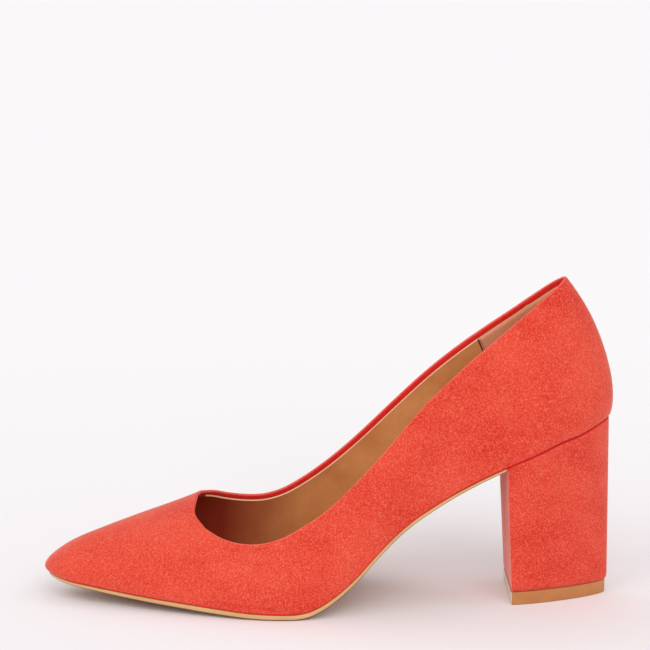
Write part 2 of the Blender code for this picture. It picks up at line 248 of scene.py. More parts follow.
# Soft hollows, and ridges where the depth is negative, on the outer side at the ball: station, height,
# how many degrees the line falls towards the heel, half its length, half its width, and its depth
CREASES = (
    (97.5, 4.2, 22.0, 3.2, 0.8, 2.8),
    (92.0, 5.2, 12.0, 3.2, 0.7, 1.3),
    (98.0, 8.0, 25.0, 5.0, 1.5, -0.6),
    (84.0, 7.0, 4.0, 9.0, 1.4, -0.7),
    (100.0, 14.0, 60.0, 8.0, 2.4, 0.6),
    (92.0, 25.0, -35.0, 7.0, 1.8, -0.7),
    (96.0, 22.0, -35.0, 7.0, 1.5, 0.8),
    (104.0, 26.0, 35.0, 6.0, 1.8, 0.7),
    (108.5, 23.5, 40.0, 6.0, 1.5, 0.6),
)

# Edges from the top down: how far in the sole's lies and at what share of its thickness, and how far
# past the band and how deep under the suede the lining's lies
SOLE_EDGE = (
    (6.0, 1.0),
    (0.5, 1.0),
    (0.18, 0.95),
    (0.02, 0.82),
    (0.0, 0.45),
    (0.03, 0.26),
    (0.08, 0.2),
    (0.2, 0.08),
    (0.5, 0.0),
)
CUT_EDGE = (
    (0.0, 1.0),
    (0.0, 1.35),
    (0.05, 1.68),
    (0.14, 1.85),
    (LINING_EDGE * 0.6, 1.9),
    (LINING_EDGE, WALL + LINING_PROUD),
)

# The lift's edge from the floor up: how far in it lies, and how high
LIFT_EDGE = (
    (0.35, 0.0),
    (0.12, 0.08),
    (0.02, 0.25),
    (0.0, 0.45),
    (0.0, LIFT_HEIGHT - 0.3),
    (0.05, LIFT_HEIGHT - 0.08),
    (0.15, LIFT_HEIGHT),
)

# Mesh steps
COLUMN = 0.9
TOE_COLUMNS = 30
ROWS = 70
FOLD_ROWS = 6            # the wall's rows that belong to the fold
TOP_ROWS = (0, 0.07, 0.16, 0.28, 0.42, 0.6, 0.85, 1.2, 1.7, 2.4, 3.2)    # down from the topline
FOOT_ROWS = (1.4, 1.0, 0.7, 0.45, 0.25, 0.1, 0.0)                        # up from the foot
BAND_ROWS = (0.9, 1.3, 1.7, 2.1, 2.4, 2.6, 2.75, 2.9, 3.1, 3.4)          # for a band 3 mm wide
THROAT_COLUMNS = (3.0, 2.2, 1.6, 1.15, 0.8, 0.55, 0.34, 0.16)            # ahead of the throat
TOPLINE_STEP = 0.06      # between the points that distances from the topline are measured to
WELD = 0.012             # points closer than this are one

# In metres: the painted shade on the lining and the sock deepens towards the toe between these places,
# the floor's painted shade fades towards the back between these, and the floor's half width
TOE_SHADE_ENDS = (-0.045, -0.008)
FLOOR_SHADE_ENDS = (-0.25, 0.5)
FLOOR_REACH = 30.0

# The studio: each lamp's bearing from the front towards the toe, how high it stands and how wide it
# looks, in degrees, and what it and the world add to the floor's brightness, about one in all
WORLD_SHARE = 0.55
LAMPS = (
    ("key", -12.0, 36.0, 45.0, 0.20),
    ("left", 50.0, 33.0, 45.0, 0.10),
    ("right", -85.0, 40.0, 50.0, 0.05),
    ("back", 165.0, 45.0, 60.0, 0.04),
    ("far_left", 115.0, 40.0, 50.0, 0.07),
)

# The photograph's camera, from the lines of the sole and the lift
CAMERA_STATION = 119.8
CAMERA_SIDE = 0.0
CAMERA_HEIGHT = 117.6
CAMERA_DISTANCE = 1250.0
CAMERA_ELEVATION = 12.0
CAMERA_TURN = 1.7        # degrees towards the toe
IMAGE_WIDTH = 650.0
PIXELS_PER_MM = 2.375    # at the target
SENSOR = 36.0


def smooth(table, column, at):
    """The column's value at a station, on a smooth curve through the table's rows."""
    x = table[:, STATION]
    y = table[:, column]
    step = np.diff(x)
    rise = np.diff(y) / step
    slope = np.empty(len(x))
    slope[1:-1] = (rise[:-1] * step[1:] + rise[1:] * step[:-1]) / (step[1:] + step[:-1])
    slope[0] = 1.5 * rise[0] - 0.5 * slope[1]
    slope[-1] = 1.5 * rise[-1] - 0.5 * slope[-2]
    at = np.clip(at, x[0], x[-1])
    i = np.clip(np.searchsorted(x, at, side="right") - 1, 0, len(x) - 2)
    h = step[i]
    t = (at - x[i]) / h
    ends = (1 + 2 * t) * (1 - t) ** 2 * y[i] + t * t * (3 - 2 * t) * y[i + 1]
    return ends + h * t * (1 - t) * ((1 - t) * slope[i] - t * slope[i + 1])


def curve(points, t):
    """Points of the cubic curve with these four handles."""
    a, b, c, d = (np.asarray(p, float) for p in points)
    t = np.asarray(t, float)[..., None]
    s = 1 - t
    return s**3 * a + 3 * s * s * t * b + 3 * s * t * t * c + t**3 * d


def sole_under(station):
    return np.maximum(smooth(UNDERSIDE, HEIGHT, station), 0.0)


def sole_top(station):
    return sole_under(station) + smooth(UNDERSIDE, THICKNESS, station)


def seat(station):
    return sole_top(station) + FIT_GAP


def half_width(station, side):
    return side * smooth(OUTLINE, OUTER if side < 0 else INNER, station)


def toe_outline(side):
    width = half_width(TOE_POLE, side)
    spread = half_width(TOE_POLE + 1, side) - width
    across, along = TOE_HANDLES
    return (
        (TIP, TIP_SIDE),
        (TIP, TIP_SIDE + side * across),
        (TOE_POLE - along, width - along * spread),
        (TOE_POLE, width),
    )


def seat_outline(side):
    width = half_width(SEAT_POLE, side)
    along, across = SEAT_HANDLES
    return (
        (SEAT_POLE, width),
        (SEAT_POLE + along, width),
        (LENGTH, side * across),
        (LENGTH, 0.0),
    )


def between(first, second, count):
    """A grid of straight lines across, from one line of points to another."""
    share = np.linspace(0, 1, count)[:, None]
    return first[:, None] * (1 - share) + second[:, None] * share


def round_off(depth, share):
    """A quarter round's depth, from nothing at share 0 to the full depth at share 1."""
    return depth * (1 - np.sqrt(1 - np.clip(share, 0, 1) ** 2))


def station_of(c):
    return TOE_POLE + (np.clip(c, 1, 2) - 1) * POLE_RUN


def place_of(station):
    return 1 + (station - TOE_POLE) / POLE_RUN


def throat_shift(station, across):
    """How far the lines round the throat slide back on the ridge and forward beside it."""
    back = THROAT_BACK * np.exp(-((across - THROAT_RIDGE) / THROAT_SPREAD) ** 2)
    front = THROAT_FRONT * np.exp(-((across - THROAT_CHEEK) / THROAT_SPREAD) ** 2)
    return (back - front) * np.exp(-((station - THROAT) / THROAT_REACH) ** 2)


def last_point(c, t, side):
    """The last's points, with its lines bent so that the throat's front is a round U."""
    c, t = np.broadcast_arrays(np.asarray(c, float), np.asarray(t, float))
    across = plain_point(c, t, side)[..., 1]
    inner = (c > 1) & (c < 2)
    shift = throat_shift(station_of(c), across) / POLE_RUN
    return plain_point(np.where(inner, c + shift, c), t, side)


def plain_point(c, t, side):
    """Points of the last at places c, from the sole's edge at t = 0 to the ridge at t = 1."""
    c, t = np.broadcast_arrays(np.asarray(c, float), np.asarray(t, float))
    toe = (c < 1)[..., None]
    back = (c > 2)[..., None]
    station = station_of(c)
    foot = np.stack([station, half_width(station, side)], axis=-1)
    foot = np.where(toe, curve(toe_outline(side), np.clip(c, 0, 1)), foot)
    foot = np.where(back, curve(seat_outline(side), np.clip(c - 2, 0, 1)), foot)
    pole = np.stack([station, smooth(LAST, RIDGE_SIDE, station)], axis=-1)
    run = foot - pole
    reach = np.linalg.norm(run, axis=-1)
    way = run / reach[..., None]
    columns = (OUT_OUTER, UP_OUTER) if side < 0 else (OUT_INNER, UP_INNER)
    bulge = np.stack([smooth(LAST, k, station) for k in (*columns, SHOULDER, DROP)], axis=-1)
    end = way[..., :1] ** 2
    bulge = bulge * (1 - end) + np.where(toe, TOE_BULGE, BACK_BULGE) * end
    out, up, shoulder, drop = np.moveaxis(bulge, -1, 0)
    low = seat(foot[..., 0])
    high = smooth(LAST, RIDGE_HEIGHT, station)
    toe_slope = smooth(LAST, RIDGE_HEIGHT, TOE_POLE + 1) - smooth(LAST, RIDGE_HEIGHT, TOE_POLE)
    fall = np.where(toe[..., 0], toe_slope * way[..., 0] * shoulder * reach, 0.0)
    handles = (
        np.stack([reach, low], axis=-1),
        np.stack([reach + out, low + up], axis=-1),
        np.stack([shoulder * reach, high - drop + fall], axis=-1),
        np.stack([np.zeros_like(reach), high], axis=-1),
    )
    profile = curve(handles, t)
    return np.concatenate([pole + way * profile[..., :1], profile[..., 1:]], axis=-1)


def last_steps(c, t, side, step=1e-3):
    """How a point of the last moves with c and with t."""
    c, t = np.broadcast_arrays(np.asarray(c, float), np.asarray(t, float))
    low, high = np.clip(c - step, 0, 3), np.clip(c + step, 0, 3)
    inside = np.minimum(t, 0.99)
    along = last_point(high, inside, side) - last_point(low, inside, side)
    along = along / (high - low)[..., None]
    low, high = np.clip(t - step, 0, 1), np.clip(t + step, 0, 1)
    up = (last_point(c, high, side) - last_point(c, low, side)) / (high - low)[..., None]
    return along, up


def last_normal(c, t, side):
    along, up = last_steps(c, t, side)
    normal = -side * np.cross(along, up)
    return normal / np.linalg.norm(normal, axis=-1)[..., None]


def topline_share(c, side):
    """The share t of each section that lies below the topline."""
    c = np.asarray(c, float)
    own, other = (OUTER, INNER) if side < 0 else (INNER, OUTER)
    low, high = np.zeros_like(c), np.ones_like(c)
    foot = last_point(c, low, side)
    pole = station_of(c)
    run = foot[..., :2] - np.stack([pole, smooth(LAST, RIDGE_SIDE, pole)], axis=-1)
    shared = run[..., 0] ** 2 / (run**2).sum(axis=-1) / 2
    for _ in range(30):
        middle = (low + high) / 2
        point = plain_point(c, middle, side)
        top = smooth(TOPLINE, own, point[..., 0]) * (1 - shared)
        top = top + smooth(TOPLINE, other, point[..., 0]) * shared
        under = point[..., 2] < top
        low, high = np.where(under, middle, low), np.where(under, high, middle)
    return np.where(station_of(c) <= THROAT, 1.0, low)


def even_topline(side, gap):
    """Places c along the topline, this far apart, from the throat to the back."""
    throat = place_of(THROAT)
    fine = throat + (3 - throat) * np.linspace(0, 1, 4000) ** 2.5
    points = last_point(fine, topline_share(fine, side), side)
    run = np.append(0, np.cumsum(np.linalg.norm(np.diff(points, axis=0), axis=1)))
    count = int(round(run[-1] / gap))
    return np.interp(np.linspace(0, run[-1], count + 1), run, fine)


def wall_grid(side, top_c, top_t, foot_t):
    """Places (c, t) of a wall: rows run from the top to the foot, columns spread evenly below."""
    toe = int(np.argmax(top_c >= 1))
    back = int(np.argmax(top_c >= 2))
    foot_c = top_c.copy()
    foot_c[toe:back] = np.linspace(1, top_c[back], back - toe + 1)[:-1]
    share = np.linspace(0, 1, 160)
    c = top_c[:, None] + (foot_c - top_c)[:, None] * share
    t = top_t[:, None] + (foot_t(foot_c) - top_t)[:, None] * share
    points = last_point(c, t, side)
    run = np.cumsum(np.linalg.norm(np.diff(points, axis=1), axis=2), axis=1)
    run = np.hstack([np.zeros((len(c), 1)), run])
    foot = np.array(FOOT_ROWS)
    rows = np.empty((len(c), ROWS + len(TOP_ROWS) + len(foot) - 2))
    for i, line in enumerate(run):
        middle = np.linspace(TOP_ROWS[-1], line[-1] - foot[0], ROWS)
        rows[i] = np.interp(np.concatenate([TOP_ROWS[:-1], middle, line[-1] - foot[1:]]), line, share)
    c = top_c[:, None] + (foot_c - top_c)[:, None] * rows
    t = top_t[:, None] + (foot_t(foot_c) - top_t)[:, None] * rows
    return c, t


def inside_of(c, t, side, distance):
    """Places this far from the topline points (c, t), straight away from the opening."""
    step = 1e-4
    along, up = last_steps(c, t, side)
    normal = last_normal(c, t, side)
    points = last_point(c, t, side)
    tangent = np.gradient(points, axis=0)
    tangent[0] = (0, side, 0)
    tangent /= np.linalg.norm(tangent, axis=1)[:, None]
    away = side * np.cross(normal, tangent)
    aa, ab, bb = (along * along).sum(1), (along * up).sum(1), (up * up).sum(1)
    ma, mb = (along * away).sum(1), (up * away).sum(1)
    size = aa * bb - ab * ab
    turn = (ma * bb - mb * ab) / size
    climb = (mb * aa - ma * ab) / size
    distance = np.asarray(distance, float)
    turn = turn * (np.interp(c + step, *PLACE_RUNS) - np.interp(c - step, *PLACE_RUNS)) / (2 * step)
    new_run = np.interp(c, *PLACE_RUNS)[:, None] + turn[:, None] * distance
    new_c = np.interp(new_run, *PLACE_RUNS[::-1])
    new_t = np.clip(t[:, None] + climb[:, None] * distance, 0, 1)
    new_c[-1] = 3.0
    new_t[0] = 1.0
    return new_c, new_t


def shell_point(c, t, side, depth):
    return last_point(c, t, side) - last_normal(c, t, side) * np.asarray(depth)[..., None]


def sock_share(c, side, height):
    """The share t at which the wall stands this high over the seat."""
    c = np.asarray(c, float)
    low, high = np.zeros_like(c), np.full_like(c, 0.6)
    for _ in range(24):
        middle = (low + high) / 2
        point = last_point(c, middle, side)
        under = point[..., 2] - seat(point[..., 0]) < height
        low, high = np.where(under, middle, low), np.where(under, high, middle)
    return low


def surface_ripple(points, side):
    """How far the suede stands off the last: slow swells, and the creases at the ball."""
    flat = points.reshape(-1, 3)
    swell = np.array([noise.noise(Vector(p) / SWELL[0]) for p in flat])
    small = np.array([noise.noise(Vector(p) / SMALL_SWELL[0] + Vector((9, 0, 0))) for p in flat])
    offset = (SWELL[1] * swell + SMALL_SWELL[1] * small).reshape(points.shape[:-1])
    if side < 0:
        for station, height, fall, length, width, depth in CREASES:
            back, up = points[..., 0] - station, points[..., 2] - height
            fall = math.radians(fall)
            along = back * math.cos(fall) - up * math.sin(fall)
            across = back * math.sin(fall) + up * math.cos(fall)
            offset = offset - depth * np.exp(-(across / width) ** 2 - (along / length) ** 2)
    return offset


def topline_distance(points, tree):
    flat = points.reshape(-1, 3)
    return np.array([tree.find(p)[2] for p in flat]).reshape(points.shape[:-1])


def fold_depth(distance):
    """The outer half of the rounded fold: how far it drops back from the wall's outside."""
    inside = np.clip(FOLD_RADIUS - distance, 0, FOLD_RADIUS)
    return FOLD_RADIUS - np.sqrt(FOLD_RADIUS**2 - inside**2)


def topline_tree():
    """Both sides' topline as close points, to look up how far away it is."""
    line = []
    for side in SIDES:
        c = even_topline(side, TOPLINE_STEP)
        line.extend(last_point(c, topline_share(c, side), side))
    tree = kdtree.KDTree(len(line))
    for i, point in enumerate(line):
        tree.insert(point, i)
    tree.balance()
    return tree


def upper_grids(places):
    """The suede's outside, the fold along the topline with its painted highlight, the band inside, and
    the feet turned under with their painted shade.
    """
    walls, folds, bands, feet = [], [], [], []
    tree = topline_tree()
    for side, (ridge_c, open_c) in zip(SIDES, places):
        top_c = np.concatenate([ridge_c, open_c])
        top_t = topline_share(top_c, side)
        c, t = wall_grid(side, top_c, top_t, np.zeros_like)
        points = last_point(c, t, side)
        distance = topline_distance(points, tree)
        height = points[..., 2] - seat(points[..., 0])
        fade = np.clip(distance / 4.0, 0, 1) * np.clip(height / 3.0, 0, 1)
        rounded = round_off(foot_draw(points[..., 0]), 1 - height / FOOT_ROUND)
        depth = fold_depth(distance) - surface_ripple(points, side) * fade + rounded
        wall = shell_point(c, t, side, depth)
        wall[..., 2] += seam_shift(wall[..., 0]) * np.clip(1 - height / SEAM_FADE, 0, 1)
        first = len(ridge_c)
        walls.append(wall[:, FOLD_ROWS - 1:-3])
        walls.append(wall[:first + 1, :FOLD_ROWS])
        feet.append(wall[:, -4:])
        feet.append(under_turn(wall[:, -1], c[:, -1]))
        fold, band = band_grids(open_c, topline_share(open_c, side), side)
        folds.append(wall[first:, :FOLD_ROWS])
        folds.append(fold)
        bands.append(band)
    return walls, folds, bands, feet


def foot_draw(station):
    """How deep the wall's lower edge is rounded: little along the sole, more over the heel."""
    over_heel = np.clip((station - BREAST_TOP) / DRAW_RUN, 0, 1)
    return SOLE_DRAW + (HEEL_DRAW - SOLE_DRAW) * over_heel


def seam_shift(station):
    """The seam over the heel sags on the quarter and climbs round the back."""
    sag = SEAM_SAG * np.exp(-((station - SAG_STATION) / SAG_SPREAD) ** 2)
    return SEAM_CLIMB * np.clip((station - CLIMB_STATION) / CLIMB_RUN, 0, 1) - sag


def under_turn(edge, c):
    """Suede turned in under the wall's foot, along the seat."""
    pole = np.stack([station_of(c), smooth(LAST, RIDGE_SIDE, station_of(c))], axis=-1)
    way = pole - edge[:, :2]
    way /= np.linalg.norm(way, axis=1)[:, None]
    steps = np.array([0.0, 0.3, 1.0, UNDER_TURN])
    flat = edge[:, None, :2] + way[:, None] * steps[:, None]
    height = seat(flat[..., 0]) + seam_shift(flat[..., 0]) - np.array([0.0, 0.12, 0.2, 0.2])
    height[:, 0] = edge[:, 2]
    return np.concatenate([flat, height[..., None]], axis=-1)


def band_grids(c, t, side):
    """The fold's inner half, and the band of suede under it down to the lining."""
    turn = FOLD_RADIUS * (1 - np.cos(np.linspace(0, np.pi / 2, 6)))
    flat = np.array(BAND_ROWS) * BAND / 3
    distance = np.append(turn, flat)
    round_depth = 2 * FOLD_RADIUS - fold_depth(turn)
    dip = GROOVE * np.clip((flat - 2.3) / 0.5, 0, 1)
    dip = dip - BAND_SWELL * np.exp(-((flat - 1.5) / 0.6) ** 2)
    depth = np.append(round_depth, 2 * FOLD_RADIUS - dip)
    inner_c, inner_t = inside_of(c, t, side, distance)
    grid = shell_point(inner_c, inner_t, side, np.broadcast_to(depth, inner_c.shape))
    return grid[:, :5], grid[:, 4:]


def lining_grids(places):
    """The tan lining's walls down to the sock, its pale cut edge, and that edge over the grip."""
    walls, edges, covered = [], [], []
    past_band, edge_depth = np.array(CUT_EDGE).T
    for side, (ridge_c, open_c) in zip(SIDES, places):
        open_t = topline_share(open_c, side)
        edge_c, edge_t = inside_of(open_c, open_t, side, BAND + past_band)
        edge = shell_point(edge_c, edge_t, side, np.broadcast_to(edge_depth, edge_c.shape))
        seam = int(np.argmax(station_of(edge_c[:, 0]) >= GRIP_FRONT))
        walls.append(edge[:EDGE_START + 1])
        edges.append(edge[EDGE_START:seam + 1])
        covered.append(edge[seam:])
        first = edge_c[0, -1]
        ridge = ridge_c[ridge_c < first - 0.004]
        top_c = np.concatenate([ridge, edge_c[:, -1]])
        top_t = np.concatenate([np.ones(len(ridge)), edge_t[:, -1]])
        low = INSOLE_THICKNESS - SOCK_OVERLAP
        c, t = wall_grid(side, top_c, top_t, lambda foot: sock_share(foot, side, low))
        depth = np.full(c.shape, WALL)
        depth[len(ridge):, 0] += LINING_PROUD
        walls.append(shell_point(c, t, side, depth))
    return walls, edges, covered


def grip_grids(places):
    """The heel grip, a soft panel round the back over the lining, and a dark strip of painted shadow
    along its slanting seam.
    """
    grids, seams = [], []
    for side, (_, open_c) in zip(SIDES, places):
        open_t = topline_share(open_c, side)
        edge_c, edge_t = inside_of(open_c, open_t, side, np.array([BAND + LINING_EDGE * 0.7]))
        keep = station_of(edge_c[:, 0]) >= GRIP_FRONT
        top_c, top_t = edge_c[keep, 0], edge_t[keep, 0]
        near = np.array([0.0, GRIP_SEAM * 0.5, GRIP_SEAM, GRIP_SEAM + 0.3]) / POLE_RUN
        top_t = np.append(np.interp(top_c[0] + near, top_c, top_t), top_t[1:])
        top_c = np.append(top_c[0] + near, top_c[1:])
        back = int(np.argmax(top_c >= 2))
        foot_c = top_c.copy()
        slide = (top_c[:back] - top_c[0]) / (top_c[back] - top_c[0])
        foot_c[:back] = place_of(GRIP_FOOT) + (top_c[back] - place_of(GRIP_FOOT)) * slide
        foot_t = sock_share(foot_c, side, INSOLE_THICKNESS - SOCK_OVERLAP)
        share = np.append(0, np.linspace(0.004, 1, 40))
        c = top_c[:, None] + (foot_c - top_c)[:, None] * share
        t = top_t[:, None] + (foot_t - top_t)[:, None] * share
        front = np.ones(len(top_c))
        front[:3] = (0.0, 0.1, 0.4)
        lift = GRIP_LIFT * front[:, None] * (share > 0)
        grid = shell_point(c, t, side, WALL + 0.03 + lift)
        seams.append(grid[:3])
        grids.append(grid[2:])
    return grids, seams


def sock_grid():
    """The sock's top and rolled edge, a little crowned across."""
    c = np.concatenate([
        np.linspace(0, 1, 30)[:-1],
        np.linspace(1, 2, 150)[:-1],
        np.linspace(2, 3, 36),
    ])
    rails = []
    for side in SIDES:
        t = sock_share(c, side, INSOLE_THICKNESS)
        rail = shell_point(c, t, side, np.full(len(c), WALL - 0.05))
        rails.append(rail)
    across = (1 - np.cos(np.linspace(0, np.pi, 29))) / 2
    grid = rails[0][:, None] * (1 - across)[:, None] + rails[1][:, None] * across[:, None]
    width = np.linalg.norm(rails[1] - rails[0], axis=1)[:, None]
    edge = np.minimum(across, 1 - across) * width
    crown = SOCK_CROWN * (np.clip(edge / CROWN_RUN, 0, 1) ** 0.5 - np.exp(-edge / SOCK_ROLL))
    grid[..., 2] = seat(grid[..., 0]) + INSOLE_THICKNESS + crown
    return grid


def outline_points():
    """Both sides of the sole's outline from the toe end to the breast."""
    end = BREAST_TOP - FIT_GAP
    straight = np.linspace(TOE_POLE, end, 180)
    feet = []
    for side in SIDES:
        toe = curve(toe_outline(side), np.linspace(0, 1, 40)[:-1])
        rest = np.column_stack([straight, half_width(straight, side)])
        feet.append(np.concatenate([toe, rest]))
    return feet


def outward(line, side):
    """Level directions out of an outline."""
    tangent = np.gradient(line, axis=0)
    tangent[0] = (0, side)
    out = side * np.column_stack([-tangent[:, 1], tangent[:, 0]])
    return out / np.linalg.norm(out, axis=1)[:, None]


def sole_grids():
    """The sole's edge with its breast end, the darker strip of painted shade at the edge's foot, and
    the underside.
    """
    sides, strips, under = [], [], []
    inset, rise = np.array(SOLE_EDGE).T
    for side, foot in zip(SIDES, outline_points()):
        out = outward(foot, side)
        top, low = sole_top(foot[:, 0]), sole_under(foot[:, 0])
        flat = foot[:, None] - out[:, None] * inset[:, None]
        flat[0, :, 1] = TIP_SIDE
        height = low[:, None] + (top - low)[:, None] * rise
        grid = np.concatenate([flat, height[..., None]], axis=-1)
        sides.append(grid[:, :6])
        strips.append(grid[:, 5:])
        under.append(grid[:, -1])
    end = np.stack([np.concatenate([a[-1], b[-1, 1:]]) for a, b in zip(sides, strips)], axis=1)
    return sides + [end], strips, [between(*under, 9)]


def rounded_breast(front, side, radius, flank):
    """The breast's corner, from its face round to the flank's first point."""
    start = front - np.array([0, side * radius])
    way = (flank[1] - flank[0]) / np.linalg.norm(flank[1] - flank[0])
    reach = 0.55 * radius
    handles = (start, start + np.array([0, side * reach]), flank[0] - way * reach, flank[0])
    return curve(handles, np.linspace(0, 1, 9))


def heel_outline(side, at_seat, depth=HEEL_DEPTH):
    """Half of the heel's outline, from the middle of the breast to the middle of the back."""
    t = np.linspace(0, 1, 49)[1:]
    radius = BREAST_CORNER if side < 0 or at_seat else INNER_CORNER
    if at_seat:
        front = np.array([BREAST_TOP, half_width(BREAST_TOP, side) - side * BREAST_INSET])
        middle = np.array([SEAT_POLE, half_width(SEAT_POLE, side)])
        back = curve(seat_outline(side), t)
        flank = front + (middle - front) * np.linspace(0.125, 1, 9)[:, None]
    else:
        along, across = LIFT_HANDLES
        front = np.array([BREAST_TOP + BREAST_LEAN, side * LIFT_HALF_WIDTH])
        end = front[0] + depth
        narrow = front + np.array([along, -side * along * LIFT_START_SLOPE])
        path = (front, narrow, (end, side * across), (end, 0.0))
        flank = curve(path, np.linspace(CORNER_SHARE * radius, LIFT_FLANK, 9))
        back = curve(path, LIFT_FLANK + (1 - LIFT_FLANK) * t)
    corner = rounded_breast(front, side, radius, flank)
    breast = np.column_stack([np.full(24, front[0]), corner[0, 1] * np.linspace(0, 1, 25)[:-1]])
    return np.concatenate([breast, corner, flank[1:], back])


def heel_grids():
    """The covered block with its rounded edges, its breast with a painted highlight, and its upper edge
    under the shoe with painted shade.
    """
    grids, breasts, seams, low_rims = [], [], [], []
    for side in SIDES:
        low = heel_outline(side, False, HEEL_DEPTH + BLOCK_OVERHANG)
        high = heel_outline(side, True)
        share = np.concatenate([
            [0, 0.003, 0.008, 0.016, 0.03],
            np.linspace(0.05, 0.975, 40),
            [0.985, 0.992, 0.997, 1.0],
        ])
        flat = low[:, None] * (1 - share)[:, None] + high[:, None] * share[:, None]
        bottom = LIFT_HEIGHT + FIT_GAP * 0.3
        top = sole_top(high[:, 0]) + FIT_GAP * 0.5 + seam_shift(high[:, 0])
        height = bottom + (top - bottom)[:, None] * share
        out = outward(low, side)
        out[0] = (-1, 0)
        drawn = round_off(LOWER_DRAW, 1 - share / LOWER_SHARE)
        drawn = drawn + round_off(UPPER_DRAW, 1 - (1 - share) / UPPER_SHARE)
        flat = flat - out[:, None] * drawn[:, None]
        joint = np.exp(-((flat[..., 1] - JOINT_SIDE) / JOINT_WIDTH) ** 2)
        joint = joint * (abs(out[:, 0] + 1) < 0.02)[:, None]
        flat[..., 0] += JOINT_DEPTH * joint
        grid = np.concatenate([flat, height[..., None]], axis=-1)
        inward = grid[:, -1:] - np.append(out, np.full((len(out), 1), -0.12), axis=1)[:, None] * 2.0
        grids.append(grid[FRONT_POINTS:, :-2])
        breasts.append(grid[:FRONT_POINTS + 1, :-2])
        seams.append(np.concatenate([grid[:, -3:], inward], axis=1))
        low_rims.append(grid[:, 0])
    grids.append(between(*low_rims, 3))
    return grids, breasts, seams


def lift_grids():
    """The lift's sides and top, its front over the width of the breast with a painted highlight, and
    its underside.
    """
    grids, fronts, floors, tops = [], [], [], []
    inset, height = np.array(LIFT_EDGE).T
    for side in SIDES:
        line = heel_outline(side, False)
        out = outward(line, side)
        out[0] = (-1, 0)
        flat = line[:, None] - out[:, None] * inset[:, None]
        rise = np.broadcast_to(height, flat.shape[:2])
        grid = np.concatenate([flat, rise[..., None]], axis=-1)
        grids.append(grid[FRONT_POINTS:])
        fronts.append(grid[:FRONT_POINTS + 1])
        floors.append(grid[:, 0])
        tops.append(grid[:, -1])
    return grids + [between(*tops, 3)], fronts, [between(*floors, 3)]


def add_piece(name, groups, materials, origin):
    """One mesh from groups of grids, a material to each group, welded where the grids meet."""
    points, faces, index = [], [], []
    start = 0
    for number, grids in enumerate(groups):
        for grid in grids:
            rows, columns = grid.shape[:2]
            ids = np.arange(rows * columns).reshape(rows, columns) + start
            quads = np.stack([ids[:-1, :-1], ids[1:, :-1], ids[1:, 1:], ids[:-1, 1:]], axis=-1)
            faces.append(quads.reshape(-1, 4))
            index.append(np.full(len(faces[-1]), number))
            points.append(grid.reshape(-1, 3))
            start += rows * columns
    mesh = bpy.data.meshes.new(name)
    places = (np.concatenate(points) - origin) * MM
    mesh.from_pydata(places.tolist(), [], np.concatenate(faces).tolist())
    mesh.polygons.foreach_set("material_index", np.concatenate(index))
    body = bmesh.new()
    body.from_mesh(mesh)
    bmesh.ops.remove_doubles(body, verts=body.verts, dist=WELD * MM)
    bmesh.ops.dissolve_degenerate(body, edges=body.edges, dist=0.001 * MM)
    bmesh.ops.recalc_face_normals(body, faces=body.faces)
    for face in body.faces:
        face.smooth = True
    body.to_mesh(mesh)
    body.free()
    for material in materials:
        mesh.materials.append(material)
    piece = bpy.data.objects.new(name, mesh)
    bpy.context.scene.collection.objects.link(piece)
    return piece


class Nodes:
    """Short calls for building one material's nodes."""

    def __init__(self, name):
        self.material = bpy.data.materials.new(name)
        self.material.use_nodes = True
        self.tree = self.material.node_tree
        self.shader = self.tree.nodes["Principled BSDF"]
        self.place = self.tree.nodes.new("ShaderNodeTexCoord").outputs["Object"]

    def link(self, source, target):
        self.tree.links.new(source, target)

    def noise(self, scale, detail=3.0, roughness=0.55, stretch=None):
        node = self.tree.nodes.new("ShaderNodeTexNoise")
        node.inputs["Scale"].default_value = scale
        node.inputs["Detail"].default_value = detail
        node.inputs["Roughness"].default_value = roughness
        place = self.place
        if stretch:
            mapping = self.tree.nodes.new("ShaderNodeMapping")
            mapping.inputs["Scale"].default_value = stretch
            mapping.inputs["Rotation"].default_value = (0.0, -0.6, 0.0)
            self.link(place, mapping.inputs["Vector"])
            place = mapping.outputs["Vector"]
        self.link(place, node.inputs["Vector"])
        return node.outputs["Fac"]

    def spread(self, value, low, high, start=0.0, end=1.0):
        node = self.tree.nodes.new("ShaderNodeMapRange")
        node.inputs["From Min"].default_value = low
        node.inputs["From Max"].default_value = high
        node.inputs["To Min"].default_value = start
        node.inputs["To Max"].default_value = end
        self.link(value, node.inputs["Value"])
        return node.outputs["Result"]

    def mix(self, share, first, second):
        node = self.tree.nodes.new("ShaderNodeMix")
        node.data_type = "RGBA"
        for value, number in ((share, 0), (first, 6), (second, 7)):
            socket = node.inputs[number]
            if isinstance(value, tuple):
                socket.default_value = (*value, 1.0)
            elif isinstance(value, float):
                socket.default_value = value
            else:
                self.link(value, socket)
        return node.outputs[2]

    def bump(self, heights):
        """A chain of bumps from pairs of a height and how deep it is in millimetres."""
        normal = None
        for height, depth in heights:
            node = self.tree.nodes.new("ShaderNodeBump")
            node.inputs["Strength"].default_value = 1.0
            node.inputs["Distance"].default_value = depth * MM
            self.link(height, node.inputs["Height"])
            if normal:
                self.link(normal, node.inputs["Normal"])
            normal = node.outputs["Normal"]
        self.link(normal, self.shader.inputs["Normal"])

    def fixed(self, **values):
        for name, value in values.items():
            self.shader.inputs[name.replace("_", " ")].default_value = value


